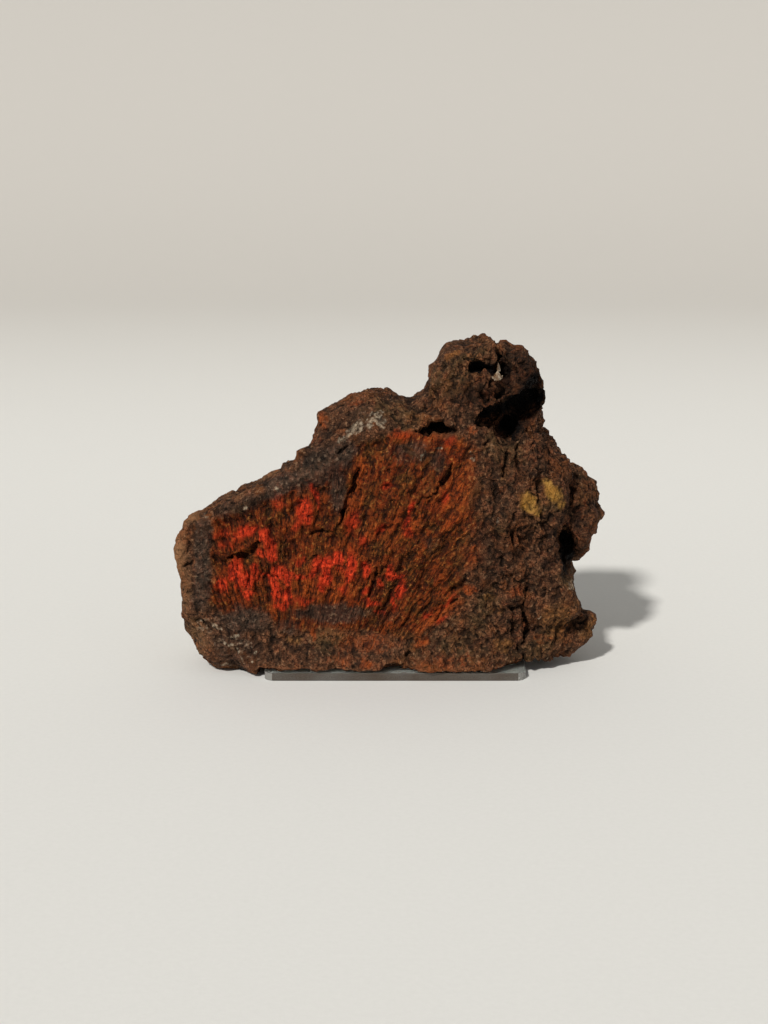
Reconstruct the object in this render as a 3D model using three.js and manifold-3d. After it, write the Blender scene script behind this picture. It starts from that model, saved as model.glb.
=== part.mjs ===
// Cinnabar on matrix: a hand specimen of rusty, granular rock whose broken front face
// shows fibrous cinnabar, with small crystals in a hollow of its knob, on a clear
// display plate.
// Millimetres, +Z up, the broken face looks along -Y, the origin is the centre of the
// plate's underside.
import * as THREE from "three";
import { mergeVertices } from "three/addons/utils/BufferGeometryUtils.js";
import { ConvexGeometry } from "three/addons/geometries/ConvexGeometry.js";
import { ImprovedNoise } from "three/addons/math/ImprovedNoise.js";
import Module from "manifold-3d";

const wasm = await Module();
wasm.setup();

// ---------------------------------------------------------------- driving dimensions

const PLATE = { width: 66, depth: 44, thick: 2, corner: 2.5 };
const GAP = 0.3; // between pieces that touch
const FACE = { y: -19.3, lean: 0.09, turnFrom: 22, turn: 0.0115 }; // the broken face
const BACK = { y: 27, thinning: 0.0052, edge: 24 }; // the back and its rounded edge
const FRONT_EDGE = { sides: 3.4, top: 13 }; // rounding of the face's edge
const VEIN = { sunk: 1.6, swell: 3, ridge: 0.45, fibreRoot: [-27, -29] };
const ROUGH = { lump: 1.5, lumpSize: 10, grain: 0.9, grainSize: 4.6 };

// Outlines seen from the front, as [x, z]: the rock without its knob and right-hand
// lumps, and the patch where the fibrous cinnabar lies open.
const ROCK_OUTLINE = [
  [-56.3, 32.6], [-54.9, 36.6], [-52.2, 39.8], [-48.2, 43.1], [-42.2, 45.1], [-36.8, 47],
  [-31.2, 49.4], [-26.4, 53.2], [-21.2, 57.8], [-18.8, 61.4], [-18, 65.2], [-14.8, 67.8],
  [-9.8, 69.6], [-7, 70.3], [-2, 70], [3.8, 67.8], [10.6, 72], [26, 70.4],
  [35, 66.2], [37, 60], [41, 54], [44.5, 45.4], [45.4, 38], [44, 31], [45, 24],
  [45.6, 18], [45.6, 9], [42, 3], [33, 1.5], [20, 0.5], [4, 0.5], [-14, 0.5],
  [-27, 0], [-33, -2.4], [-41.5, -4.2], [-47.8, -3.4], [-52.8, 0.4], [-55.4, 6],
  [-54.6, 13.5], [-54.2, 20], [-56.4, 26.5],
];
const VEIN_OUTLINE = [
  [-45.2, 40], [-38.5, 42.3], [-29.8, 46.2], [-21.1, 50], [-13.6, 54.5], [-8.2, 59.6],
  [-0.1, 63], [8, 61.8], [15, 61.2], [20.3, 59], [23, 51], [24, 40.8], [22, 30.5],
  [18.7, 23], [13.3, 17.4], [7.5, 12.1], [1.2, 9.6], [-6.3, 10.5], [-16.4, 12.1],
  [-24, 11.6], [-30.5, 13.6], [-33.5, 17], [-37.8, 16.4], [-43, 16.6], [-46.2, 20],
  [-46.9, 30.5],
];

// Lumps that stand out of the rock, each a few rounded masses grown together:
// centre, half sizes, tilt about Y in degrees, and how blocky (2 is an ellipsoid).
const LUMPS = {
  knob: [
    { at: [17.8, 0.2, 68.4], half: [9.5, 12.6, 11.4], blocky: 3 },
    { at: [18.5, 0.4, 75.2], half: [7, 10.4, 7.1], blocky: 2.8 },
    { at: [22.5, 0.6, 80.3], half: [3.7, 7, 4.2], blocky: 2.6 },
    { at: [29.2, 2, 74.9], half: [4.8, 9, 6.7], blocky: 2.2 },
    { at: [30.6, 2.5, 70.2], half: [7.2, 12, 8.2], blocky: 2.2 },
    { at: [29.2, 6.5, 62.5], half: [8.4, 10, 9.5], blocky: 2.4 },
  ],
  shoulder: [
    { at: [36, 4, 50.5], half: [9, 13.5, 7.4], blocky: 2.4, tilt: -42 },
    { at: [44.8, 7, 36], half: [8.4, 13.5, 12], blocky: 2.4, tilt: -4 },
    { at: [47, 5, 43.4], half: [4.4, 8, 4.8], blocky: 2.3 },
  ],
  block: [
    { at: [39, -4.5, 17.4], half: [8.2, 12.5, 11.2], blocky: 3 },
    { at: [38, -4, 6.5], half: [7.4, 10, 6], blocky: 2.5 },
  ],
  spur: [{ at: [44.2, -6, 6.9], half: [8.7, 6.5, 4.3], blocky: 2.6, tilt: 40 }],
};

// Hollows cut into the rock, given the same way.
const HOLLOWS = {
  underKnob: { at: [32.8, -9, 67.8], half: [6, 13, 4.3], blocky: 2.2, tilt: 24, rough: 0.8 },
  underKnobLeft: { at: [25, -11, 65.6], half: [5.4, 8.5, 2.3], blocky: 2.2, tilt: 20, rough: 0.5 },
  underKnobDeep: { at: [28, -9, 61.8], half: [3, 11, 3.6], blocky: 2, rough: 0.5 },
  slit: { at: [9.8, -14, 63.4], half: [5, 8.5, 1.8], blocky: 2, tilt: -4 },
  eye: { at: [22.4, -11, 77], half: [3.9, 5.5, 2.3], blocky: 2.2, tilt: -6 },
  eyeCorner: { at: [25.4, -11.5, 75.4], half: [2, 4, 2.2], blocky: 2.2 },
  edgeHollow: { at: [44.2, -9, 30.6], half: [2.6, 9, 6.4], blocky: 2.2, tilt: 8 },
  footNotch: { at: [-0.5, -20, 2.4], half: [4, 5, 1.8], blocky: 2, tilt: 12 },
};

// Cracks and clefts in the front: the line of each as [x, z], its width and its depth.
const CRACKS = [
  { line: [[33, 25], [32.2, 20], [33.4, 14], [32.8, 8], [33.8, 0]], wide: 1.8, deep: 4 },
  { line: [[25.2, 86], [26.8, 79], [25.8, 74], [26.8, 69.5]], wide: 3, deep: 4.5 },
  { line: [[-9.6, 52], [-10.8, 47.6], [-12.4, 43.6], [-13.8, 39.4]], wide: 2.2, deep: 2.4 },
  { line: [[-43.6, 31.6], [-40, 30.4], [-36, 32], [-33, 34.8]], wide: 2.8, deep: 2.6 },
  { line: [[-4.8, 27.6], [-5.2, 24.4], [-6.4, 20]], wide: 1.8, deep: 1.8 },
  { line: [[18.4, 26.4], [14.6, 22.4], [9.6, 16], [5, 11.4]], wide: 1.8, deep: 1.6 },
  { line: [[14, 54], [12.8, 50.6], [10.6, 47.4]], wide: 2.2, deep: 2.4 },
];

// Small pointed crystals on a crust in the corner of the knob's hollow.
const CRYSTALS = {
  crust: { at: [25.3, -9.3, 74.2], radius: 1.6, thick: 0.6 },
  points: [
    { foot: [25.3, -9.9], height: 2.8, width: 1.8, lean: [4, -20] },
    { foot: [24.3, -9.3], height: 1.7, width: 0.9, lean: [-18, -12] },
    { foot: [26.3, -9.2], height: 1.5, width: 0.9, lean: [18, -8] },
  ],
};

// ---------------------------------------------------------------- noise and outlines

const noise = new ImprovedNoise();
const { clamp, smoothstep, degToRad, radToDeg } = THREE.MathUtils;

// Swells of the rock, and over them grains with creases between.
function roughness(x, y, z) {
  const s = ROUGH.lumpSize;
  const g = ROUGH.grainSize;
  const swell = noise.noise(x / s, y / s + 7.3, z / s);
  const grain = 2 * Math.abs(noise.noise(x / g + 3.7, y / g + 5.2, z / g + 9.4)) - 0.4;
  return ROUGH.lump * swell + ROUGH.grain * grain;
}

// A closed smooth outline through the given points, as the distance inside it.
function outline(points) {
  const curve = new THREE.CatmullRomCurve3(
    points.map(([x, z]) => new THREE.Vector3(x, 0, z)), true, "centripetal",
  );
  const ring = curve.getPoints(points.length * 2).map((p) => [p.x, p.z]);
  return (x, z) => {
    let nearest = Infinity;
    let inside = false;
    for (let i = 1; i < ring.length; i++) {
      const [ax, az] = ring[i - 1];
      const [bx, bz] = ring[i];
      const along = ((x - ax) * (bx - ax) + (z - az) * (bz - az)) /
        ((bx - ax) ** 2 + (bz - az) ** 2);
      const t = clamp(along, 0, 1);
      nearest = Math.min(nearest, Math.hypot(x - ax - t * (bx - ax), z - az - t * (bz - az)));
      if (az > z !== bz > z && x < ax + ((z - az) / (bz - az)) * (bx - ax)) inside = !inside;
    }
    return inside ? nearest : -nearest;
  };
}

// The smaller of two depths, with the edge where they meet rounded off.
function roundedMin(a, b, radius) {
  if (a > radius || b > radius) return Math.min(a, b);
  return radius - Math.hypot(radius - a, radius - b);
}

// ---------------------------------------------------------------- solids

// A closed body that every ray from its centre leaves once: the points of an
// icosahedral sphere are moved out along their rays to where depth turns negative.
// Spread moves rays from the middle of the front and back to the rim between them,
// and toFront moves them from the back to the front.
function castSolid({ centre, reach, detail, spread = 0, toFront = 0 }, depth) {
  const sphere = new THREE.IcosahedronGeometry(1, detail);
  sphere.deleteAttribute("normal");
  sphere.deleteAttribute("uv");
  const body = mergeVertices(sphere, 1e-5);
  const position = body.attributes.position;
  const direction = new THREE.Vector3();
  for (let i = 0; i < position.count; i++) {
    direction.fromBufferAttribute(position, i);
    const fromFront = Math.acos(clamp(-direction.y, -1, 1));
    const turned = fromFront + spread * Math.sin(2 * fromFront) - toFront * Math.sin(fromFront);
    const flat = Math.hypot(direction.x, direction.z) || 1;
    const ray = [
      (reach[0] * direction.x * Math.sin(turned)) / flat,
      -reach[1] * Math.cos(turned),
      (reach[2] * direction.z * Math.sin(turned)) / flat,
    ];
    const at = (t) => centre.map((c, k) => c + t * ray[k]);
    const step = 1 / 40;
    let inner = 1;
    while (inner > step && depth(...at(inner)) < 0) inner -= step;
    let outer = inner + step;
    for (let k = 0; k < 12; k++) {
      const middle = (inner + outer) / 2;
      if (depth(...at(middle)) < 0) outer = middle;
      else inner = middle;
    }
    position.setXYZ(i, ...at(inner));
  }
  return toManifold(body);
}

function toManifold(geometry) {
  return new wasm.Manifold(new wasm.Mesh({
    numProp: 3,
    vertProperties: new Float32Array(geometry.attributes.position.array),
    triVerts: new Uint32Array(geometry.index.array),
  }));
}

// One of the shapes of three.js as a solid, with its seams closed.
function solidOf(geometry) {
  const plain = geometry.index ? geometry.toNonIndexed() : geometry.clone();
  plain.deleteAttribute("normal");
  plain.deleteAttribute("uv");
  return toManifold(mergeVertices(plain, 1e-4));
}

// A solid's largest body as a mesh's geometry, without the crumbs that cutting leaves.
function toGeometry(solid) {
  const whole = solid.decompose().reduce((a, b) => (b.volume() > a.volume() ? b : a));
  const mesh = whole.getMesh();
  const geometry = new THREE.BufferGeometry();
  geometry.setAttribute("position", new THREE.BufferAttribute(mesh.vertProperties, 3));
  geometry.setIndex(new THREE.BufferAttribute(mesh.triVerts, 1));
  geometry.computeVertexNormals();
  return geometry;
}

// How deep a point lies in a rounded mass, in millimetres, negative outside it.
function massDepth({ at, half, blocky, tilt = 0 }, x, y, z) {
  const [cos, sin] = [Math.cos(degToRad(tilt)), Math.sin(degToRad(tilt))];
  const [dx, dy, dz] = [x - at[0], y - at[1], z - at[2]];
  const local = [dx * cos + dz * sin, dy, dz * cos - dx * sin];
  const size = local.reduce((sum, v, k) => sum + Math.abs(v / half[k]) ** blocky, 0);
  return (1 - size ** (1 / blocky)) * Math.min(...half);
}

function lump(masses, detail, rough) {
  const box = new THREE.Box3();
  for (const { at, half, tilt = 0 } of masses) {
    const r = tilt ? Math.max(half[0], half[2]) : 0;
    const [rx, rz] = [Math.max(r, half[0]), Math.max(r, half[2])];
    box.expandByPoint(new THREE.Vector3(at[0] - rx, at[1] - half[1], at[2] - rz));
    box.expandByPoint(new THREE.Vector3(at[0] + rx, at[1] + half[1], at[2] + rz));
  }
  const centre = box.getCenter(new THREE.Vector3()).toArray();
  const reach = box.getSize(new THREE.Vector3()).toArray().map((side) => side * 0.9 + 2);
  return castSolid({ centre, reach, detail }, (x, y, z) => {
    const depth = Math.max(...masses.map((mass) => massDepth(mass, x, y, z)));
    return depth + rough * roughness(x, y, z);
  });
}

// The space of a crack: a wedge along its line that goes into the front face, widest
// and deepest halfway along.
function crack({ line, wide, deep }) {
  const last = line.length - 1;
  const long = Math.hypot(line[last][0] - line[0][0], line[last][1] - line[0][1]);
  const side = [(line[0][1] - line[last][1]) / long, (line[last][0] - line[0][0]) / long];
  const outside = 2.5;
  const sections = line.map(([x, z], i) => {
    const share = Math.sin((Math.PI * (i + 0.3)) / (last + 0.6));
    const half = (wide / 2) * share * (1 + outside / (deep * share));
    const surface = frontY(x, Math.min(z, 76));
    return [
      new THREE.Vector3(x - half * side[0], surface - outside, z - half * side[1]),
      new THREE.Vector3(x + half * side[0], surface - outside, z + half * side[1]),
      new THREE.Vector3(x, surface + deep * share, z),
    ];
  });
  const wedges = sections.slice(1).map((section, i) => (
    solidOf(new ConvexGeometry([...sections[i], ...section]))
  ));
  return wedges.reduce((a, b) => a.add(b));
}

// ---------------------------------------------------------------- the rock

const rockInset = outline(ROCK_OUTLINE);
const veinInset = outline(VEIN_OUTLINE);

// How far the fibrous patch stands out of the face: sunk behind its rim, swollen in
// the upper middle, and ridged along its fibres.
function veinRelief(x, z) {
  const [rootX, rootZ] = VEIN.fibreRoot;
  const swell = VEIN.swell * Math.exp(-(((x - 2) / 9) ** 2) - ((z - 50) / 11) ** 2);
  const angle = Math.atan2(z - rootZ, x - rootX);
  const far = Math.hypot(z - rootZ, x - rootX);
  const ridges = Math.sin(angle * 80 + 3 * noise.noise(x / 12, 0, z / 12)) +
    noise.noise(angle * 24, far / 20, 4.2);
  const waves = 0.9 * noise.noise(x / 11, 5.5, z / 11);
  const sunk = VEIN.sunk * (1 - smoothstep(x, 2, 20));
  return swell + VEIN.ridge * ridges + waves - sunk;
}

function veinShare(x, z) {
  return smoothstep(veinInset(x, z), -0.5, 2);
}

function frontY(x, z) {
  const turned = FACE.turn * Math.max(0, x - FACE.turnFrom) ** 2;
  return FACE.y + FACE.lean * z + turned - veinShare(x, z) * veinRelief(x, z);
}

function backY(x, z) {
  const hunch = 2.5 * Math.exp(-(((x - 20) / 16) ** 2) - ((z - 36) / 20) ** 2);
  const broken = 6 * Math.abs(noise.noise(x / 24, 3.3, z / 24));
  const tapered = BACK.y - BACK.thinning * (x - 6) ** 2 - 0.12 * Math.max(0, z - 40);
  return tapered + hunch - broken;
}

function makeBody() {
  const centre = [-2, 0, 34];
  const cast = { centre, reach: [62, 36, 46], detail: 16, spread: 0.2, toFront: 0.2 };
  return castSolid(cast, (x, y, z) => {
    const inset = rockInset(x, z);
    const topShare = smoothstep(z, 52, 66) * smoothstep(x, -26, -16);
    const edge = FRONT_EDGE.sides + (FRONT_EDGE.top - FRONT_EDGE.sides) * topShare;
    const toFront = roundedMin(inset, y - frontY(x, z), edge);
    const toBack = roundedMin(inset, backY(x, z) - y, BACK.edge);
    const smooth = 0.7 * veinShare(x, z) * smoothstep(-y, 2, 12);
    return Math.min(toFront, toBack) + (1 - smooth) * roughness(x, y, z);
  });
}

// What the worn underside has lost: the rock ends flat just above the plate, and hangs
// lower beyond the plate's left end.
function belowSeat() {
  const [wide, deep, lowest] = [150, 20, 0.5];
  const left = -PLATE.width / 2 - 1.5;
  const seat = new THREE.BoxGeometry(wide, wide, deep);
  seat.translate(left + wide / 2, 0, PLATE.thick + GAP - deep / 2);
  const ground = new THREE.BoxGeometry(wide, wide, deep);
  ground.translate(0, 0, lowest - deep / 2);
  return solidOf(seat).add(solidOf(ground));
}

function makeRock() {
  let rock = makeBody();
  rock = rock.add(lump(LUMPS.knob, 7, 1));
  rock = rock.add(lump(LUMPS.shoulder, 6, 1.5));
  rock = rock.add(lump(LUMPS.block, 5, 1.3));
  rock = rock.add(lump(LUMPS.spur, 4, 0.5));
  for (const hollow of Object.values(HOLLOWS)) {
    rock = rock.subtract(lump([hollow], hollow.half[0] > 5 ? 3 : 2, hollow.rough ?? 0.3));
  }
  for (const line of CRACKS) rock = rock.subtract(crack(line));
  return rock.subtract(makeCrystals(GAP)).subtract(belowSeat());
}

// ---------------------------------------------------------------- the smaller pieces

// Six-sided pointed crystals on a thin crust, or with grow above 0 the room they need.
function makeCrystals(grow = 0) {
  const { at, radius, thick } = CRYSTALS.crust;
  const wide = radius + grow;
  const crust = new THREE.CylinderGeometry(wide, wide * 0.85, thick + 2 * grow, 7);
  crust.rotateX(Math.PI / 2);
  crust.translate(...at);
  return CRYSTALS.points.reduce((grown, { foot, height, width, lean }) => {
    const side = width / 2 + grow;
    const tip = height + 2 * grow;
    const profile = [[0, 0], [side, 0], [side, tip * 0.6], [0, tip]];
    const crystal = new THREE.LatheGeometry(profile.map((p) => new THREE.Vector2(...p)), 6);
    crystal.rotateX(Math.PI / 2);
    crystal.rotateX(degToRad(-lean[1]));
    crystal.rotateY(degToRad(lean[0]));
    crystal.translate(foot[0], foot[1], at[2] - grow);
    return grown.add(solidOf(crystal));
  }, solidOf(crust));
}

function makePlate() {
  const { width, depth, thick, corner } = PLATE;
  const [w, d] = [width / 2 - corner, depth / 2 - corner];
  const shape = new THREE.Shape();
  shape.absarc(w, d, corner, 0, Math.PI / 2);
  shape.absarc(-w, d, corner, Math.PI / 2, Math.PI);
  shape.absarc(-w, -d, corner, Math.PI, 1.5 * Math.PI);
  shape.absarc(w, -d, corner, 1.5 * Math.PI, 2 * Math.PI);
  return new THREE.ExtrudeGeometry(shape, { depth: thick, bevelEnabled: false, curveSegments: 4 });
}

// ---------------------------------------------------------------- the specimen

const rockLook = new THREE.MeshStandardMaterial({ color: "#5a3020", roughness: 0.9 });
const crystalLook = new THREE.MeshStandardMaterial({ color: "#d9cfc4", roughness: 0.3 });
const acrylicLook = new THREE.MeshStandardMaterial({
  color: "#eef3f2", roughness: 0.08, transparent: true, opacity: 0.3,
});

function piece(name, geometry, material) {
  const mesh = new THREE.Mesh(geometry, material);
  mesh.name = name;
  return mesh;
}

const specimen = new THREE.Group();
specimen.add(
  piece("cinnabar_rock", toGeometry(makeRock()), rockLook),
  piece("hollow_crystals", toGeometry(makeCrystals()), crystalLook),
  piece("display_plate", makePlate(), acrylicLook),
);

export default specimen;
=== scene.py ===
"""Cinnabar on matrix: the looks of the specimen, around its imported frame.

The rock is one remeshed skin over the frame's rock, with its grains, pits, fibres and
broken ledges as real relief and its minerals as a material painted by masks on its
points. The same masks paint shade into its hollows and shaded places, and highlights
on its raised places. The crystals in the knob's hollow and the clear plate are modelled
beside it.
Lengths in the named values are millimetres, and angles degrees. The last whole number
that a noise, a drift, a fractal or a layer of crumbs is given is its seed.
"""
import itertools
import math

import bmesh
import bpy
import numpy as np
from mathutils import Matrix, Vector


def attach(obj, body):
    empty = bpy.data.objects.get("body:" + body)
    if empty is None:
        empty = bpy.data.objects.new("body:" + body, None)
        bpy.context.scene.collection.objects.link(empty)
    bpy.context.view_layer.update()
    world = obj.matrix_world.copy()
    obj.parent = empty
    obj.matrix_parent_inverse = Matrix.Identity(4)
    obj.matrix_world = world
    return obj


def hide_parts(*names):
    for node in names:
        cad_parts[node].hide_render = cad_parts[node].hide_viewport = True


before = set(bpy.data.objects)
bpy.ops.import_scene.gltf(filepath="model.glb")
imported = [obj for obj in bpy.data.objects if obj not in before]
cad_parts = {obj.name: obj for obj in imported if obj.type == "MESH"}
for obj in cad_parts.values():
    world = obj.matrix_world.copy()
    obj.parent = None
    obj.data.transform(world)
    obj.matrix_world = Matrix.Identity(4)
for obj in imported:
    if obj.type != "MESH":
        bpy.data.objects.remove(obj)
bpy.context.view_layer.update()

MM = 0.001

# ---------------------------------------------------------------- driving dimensions

CAMERA = {"at": (-2.8, -427.6, 148.0), "down": 14.4, "lens": 60, "sensor": 36}
KEY_LIGHT = {
    "towards": (-0.52, -0.86, 1.0), "spread": 5.0, "strength": 2.65, "tint": (1.0, 0.97, 0.93),
}
SKY = {"tint": (0.97, 0.98, 1.0, 1), "strength": 0.27}
STAGE = {"front": 2500, "back": 700, "bend": 500, "high": 3000, "wide": 6000, "under": 0.05}
STAGE_BEND = range(0, 91, 6)                # the angles of the bend's steps
FLOOR_FADE = (150, 900)                     # the floor darkens between these, behind the rock

ROCK = {"voxel": 0.32, "relax": 7, "front_faces": 118000, "other_faces": 56000}
FILL = {"reach": (3.6, 1.8), "passes": 100, "share": 0.7}
SEAT = {"plate_top": 2.0, "plate_left": -34.5, "clear": 0.06}
FRONT = {"towards": (0.0, -0.96, 0.28), "least": 0.3}   # what faces it keeps small faces
KNOB = {"from_x": (8, 18), "from_z": (65, 72)}
PLATE = {"chamfer": 0.2, "sharp": 40, "level": 0.995, "upright": 0.5}
# The plate's faces, chamfers and sides: the least roughness and the transmission.
ACRYLIC = {"clear_acrylic": (0.02, 1.0), "cut_acrylic": (0.25, 0.6), "side_acrylic_painted_shade": (0.18, 0.75)}
REFRACTION = {"crystal": 1.54, "acrylic": 1.49}
# Each ring of a crystal is so far along it and so wide, as shares of its length and width.
CRYSTAL_FORM = {
    "rings": ((-0.12, 0.92), (0.0, 1.0), (0.45, 0.72)), "sides": 6, "uneven": (0.9, 1.12),
    "sunk": 0.14, "darker": (76.4, 77.4),
}

# The fibres fan out from their root. They are as far apart as named where they lie at
# the middle distance from it.
FIBRES = {"root": (-27.0, -29.0), "apart": 0.95, "thick": 3, "long": 5.5, "middle": 75}
FAN_STRETCH = {"along": 0.26, "deep": 0.4}

# Layers of crumbs: the size, seed, dome, step and crevice of each. Tufts are crumbs on
# the fibres' own coordinates, which are stretched first.
LUMPS = (5.0, 9, 1.9, 0.5, 0.15)
CRUMBS = [(2.3, 2, 0.75, 0.3, 0.06), (1.3, 3, 0.6, 0.24, 0.05)]
GRIT = (0.8, 8, 0.36, 0.18, 0.0)
TUFTS = [
    ((0.42, 0.3, 1.2), (1.0, 5, 0.3, 0.34, 0.06)), ((0.9, 0.6, 2.4), (1.0, 6, 0.26, 0.22, 0.04)),
]
TUFT_CRUMBS = (1.25, 10, 0.2, 0.12, 0.0)
UPRIGHT = (1.0, 1.0, 0.66)                  # makes lumps taller than they are wide
# Pits: their spacing and seed, where they end and are deepest, and the grains without one.
SMALL_PITS = (2.6, 4, (0.34, 0.12), 0.78)
POCKETS = (5.4, 12, (0.36, 0.1), 0.66)
FIBRE_PITS = (2.8, 7, (0.3, 0.08), 0.88)

PALETTE = {
    "matrix dark": "2a1b12", "matrix light": "6e4b33", "rust": "77431f", "olive": "5f4a2c",
    # The crevice colour is painted shade between the crumbs.
    "matrix grain": "a07a5a", "matrix shade": "1a0f08", "crevice": "140b06", "rim": "8a6444",
    "fibre dark": "381708", "fibre light": "7a3510", "moss": "4a3412", "umber": "5c3712",
    "thread": "8c4416", "ember": "8a3410", "fibre grain": "bc7c3c", "fibre shade": "200e05",
    "grey dark": "261f19", "grey light": "493c31", "grey grain": "7c6c5c",
    "orange dark": "843210", "orange light": "b4561e", "stain": "96290e",
    "red dark": "b02a12", "red light": "ee4826", "amber dark": "5a3c1e", "amber light": "8e6436",
    "ochre dark": "906428", "ochre light": "b48844", "pale dark": "5c4a3a", "pale light": "a4947e",
    # The first five colours on the next line are painted: shade for dim places, gaps, hollows and
    # shadows, and a highlight tint.
    "dim": "1a100a", "gap": "1c0a04", "hollow": "0d0704", "peak": "ffe0c8", "shadow black": "020101",
    "crystal light": "e8d4b8", "crystal dark": "8a6a4c", "crystal top": "6e5640",
    # The plate sides' acrylic is tinted dark brown: painted shade and reflection of the dark rock.
    "clear_acrylic": "fafdfc", "cut_acrylic": "c9c5bd", "side_acrylic_painted_shade": "8c7865",
    "haze": "e6ece9", "floor dark": "e4e4e0", "floor light": "eaeae6", "floor far": "c6c3bd",
}

# The fibrous patch, as [x, z] seen from the front.
VEIN_OUTLINE = [
    (-45.2, 40), (-38.5, 42.3), (-29.8, 46.2), (-21.1, 50), (-13.6, 54.5), (-8.2, 59.6),
    (-0.1, 63), (8, 61.8), (15, 61.2), (19.6, 58), (21, 51), (20, 44), (21.5, 36),
    (18.5, 28), (18, 22.4), (13.3, 17.4), (7.5, 12.1), (1.2, 9.6), (-6.3, 10.5), (-16.4, 12.1),
    (-24, 11.6), (-30.5, 13.6), (-33.5, 17), (-37.8, 16.4), (-43, 16.6), (-46.2, 20),
    (-46.9, 30.5),
]

# Broad cracks of the solid that the skin nearly fills, because the real ones are finer.
FILLED = [
    [(-9.6, 52), (-10.8, 47.6), (-12.4, 43.6), (-13.8, 39.4)],
    [(-43.6, 31.6), (-40, 30.4), (-36, 32), (-33, 34.8)],
    [(-4.8, 27.6), (-5.2, 24.4), (-6.4, 20)],
    [(18.4, 26.4), (14.6, 22.4), (9.6, 16), (5, 11.4)],
    [(14, 54), (12.8, 50.6), (10.6, 47.4)],
    [(32.2, 20), (33.4, 14), (32.8, 8), (33.8, 0)],
]

# Rounded fillings, as middle and radii, that narrow the solid's slit and the knob's notch.
PLUGS = [
    ((10.0, -8.6, 64.9), (5.4, 3.4, 1.9)), ((6.9, -9.4, 63.7), (2.6, 3.2, 1.6)),
    ((13.9, -10.8, 63.8), (2.2, 3.4, 1.4)),
    ((26.9, 1.5, 80.0), (2.2, 5.0, 2.2)),
]

# Creases, as the points (x, z) of each line, its half width and its depth.
CREASES = [
    ([(-52.4, 35.5), (-51.6, 33), (-52.2, 31)], 0.4, 1.2),
    ([(-53.4, 28), (-51.6, 28.3), (-50.6, 29.4)], 0.4, 1.1),
    ([(-45.4, 34.5), (-44.6, 33.2)], 0.5, 1.2),
    ([(-45.6, 30.6), (-44.8, 29)], 0.4, 0.9),
    ([(-42.0, 30.2), (-38.6, 30.4), (-36.2, 31.8), (-34.2, 34.2)], 0.8, 2.2),
    ([(-41.8, 43.8), (-39.6, 44.2)], 0.3, 0.8),
    ([(-31.2, 28), (-32.2, 26), (-32.8, 23.6)], 0.4, 1.0),
    ([(-21.4, 29.4), (-19.6, 30.8)], 0.4, 1.0),
    ([(-21.2, 35.9), (-18, 36.8), (-15.2, 37)], 0.4, 1.5),
    ([(-25.6, 40.6), (-25.4, 43.6), (-23.4, 44.6)], 0.5, 1.0),
    ([(-9.2, 53.0), (-10.8, 47.2), (-12.4, 43.4), (-14.0, 38.6)], 0.6, 2.8),
    ([(-4.6, 27.4), (-5.4, 23.6), (-6.6, 19.8)], 0.7, 1.6),
    ([(14.2, 54.0), (12, 49.6), (9.6, 46.6)], 0.8, 1.8),
    ([(10.2, 46.2), (7.4, 45.6), (5.4, 44.2)], 0.4, 0.8),
    ([(-2.8, 48.8), (-2, 49)], 0.5, 1.0),
    ([(18.4, 26.2), (16.4, 23.6), (13.8, 21.4)], 0.6, 1.6),
    ([(15.6, 20.2), (12.4, 17.6), (10, 14.6)], 0.4, 1.0),
    ([(8, 17.8), (5.6, 15.4), (4.6, 13.2)], 0.4, 0.9),
    ([(-14.6, 56.6), (-12.4, 58.4), (-11, 58.8)], 0.45, 1.2),
    ([(-46, 12.2), (-49, 14.2), (-51, 13.8)], 0.35, 0.7),
    ([(33.8, 22.5), (31.8, 17.8), (33.8, 12.6), (32.0, 7), (33.8, -3)], 0.45, 2.2),
    ([(32.4, 18), (29.8, 17), (28.6, 18.2)], 0.4, 1.4), ([(33.4, 12), (35.6, 11)], 0.4, 1.2),
    ([(5.0, 61.9), (8.6, 62.0), (12.2, 62.3), (15.2, 62.5)], 0.5, 2.2),
    ([(27.4, 60), (27.8, 55.2), (27, 51.6)], 0.6, 2.0),
    ([(30.6, 59), (30.2, 55), (31, 52)], 0.5, 1.4),
    ([(31.4, 35.6), (33.6, 33), (32.2, 30.4)], 0.8, 1.3),
    ([(34.4, 63), (34.6, 57)], 0.35, 1.0),
    ([(32.4, 32), (31.4, 30.6)], 0.7, 1.2),
    ([(5.2, 66.6), (7.4, 67.8), (8.8, 69.6)], 0.5, 1.0),
    ([(3.6, 3.4), (3, 5.6), (5.4, 6.4)], 0.6, 1.4),
    ([(-0.8, 38.6), (-3.6, 37.2), (-4.6, 35.4)], 0.35, 0.8),
    ([(27.4, 80.6), (27.4, 79.0), (26.8, 76.5), (28.6, 72.0)], 0.9, 2.0),
    ([(35.6, 53), (37.0, 49), (36.0, 44)], 0.8, 1.1),
    ([(36.6, 41), (38.2, 37), (37.2, 31)], 0.9, 1.3),
    ([(24.2, 50), (25.8, 46), (24.4, 41)], 0.8, 1.0),
    ([(30.2, 42), (28.6, 38), (29.8, 34)], 0.7, 1.0),
    ([(27.0, 31), (28.4, 28), (27.2, 25)], 0.7, 1.0),
    ([(19.6, 72), (24, 70.4), (27.6, 70.8)], 0.6, 1.0),
]

# The crystals in the knob's hollow: foot, tip, width and turn of each.
CRYSTALS = [
    ((25.2, -9.5, 74.9), (25.3, -10.3, 77.0), 2.1, 10),
    ((24.2, -9.2, 74.9), (23.9, -9.7, 75.5), 0.5, 30),
    ((26.3, -9.1, 75.0), (26.6, -9.5, 75.7), 0.6, 0),
    ((25.7, -8.6, 76.8), (25.5, -8.9, 78.8), 1.0, 45),
]

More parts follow.
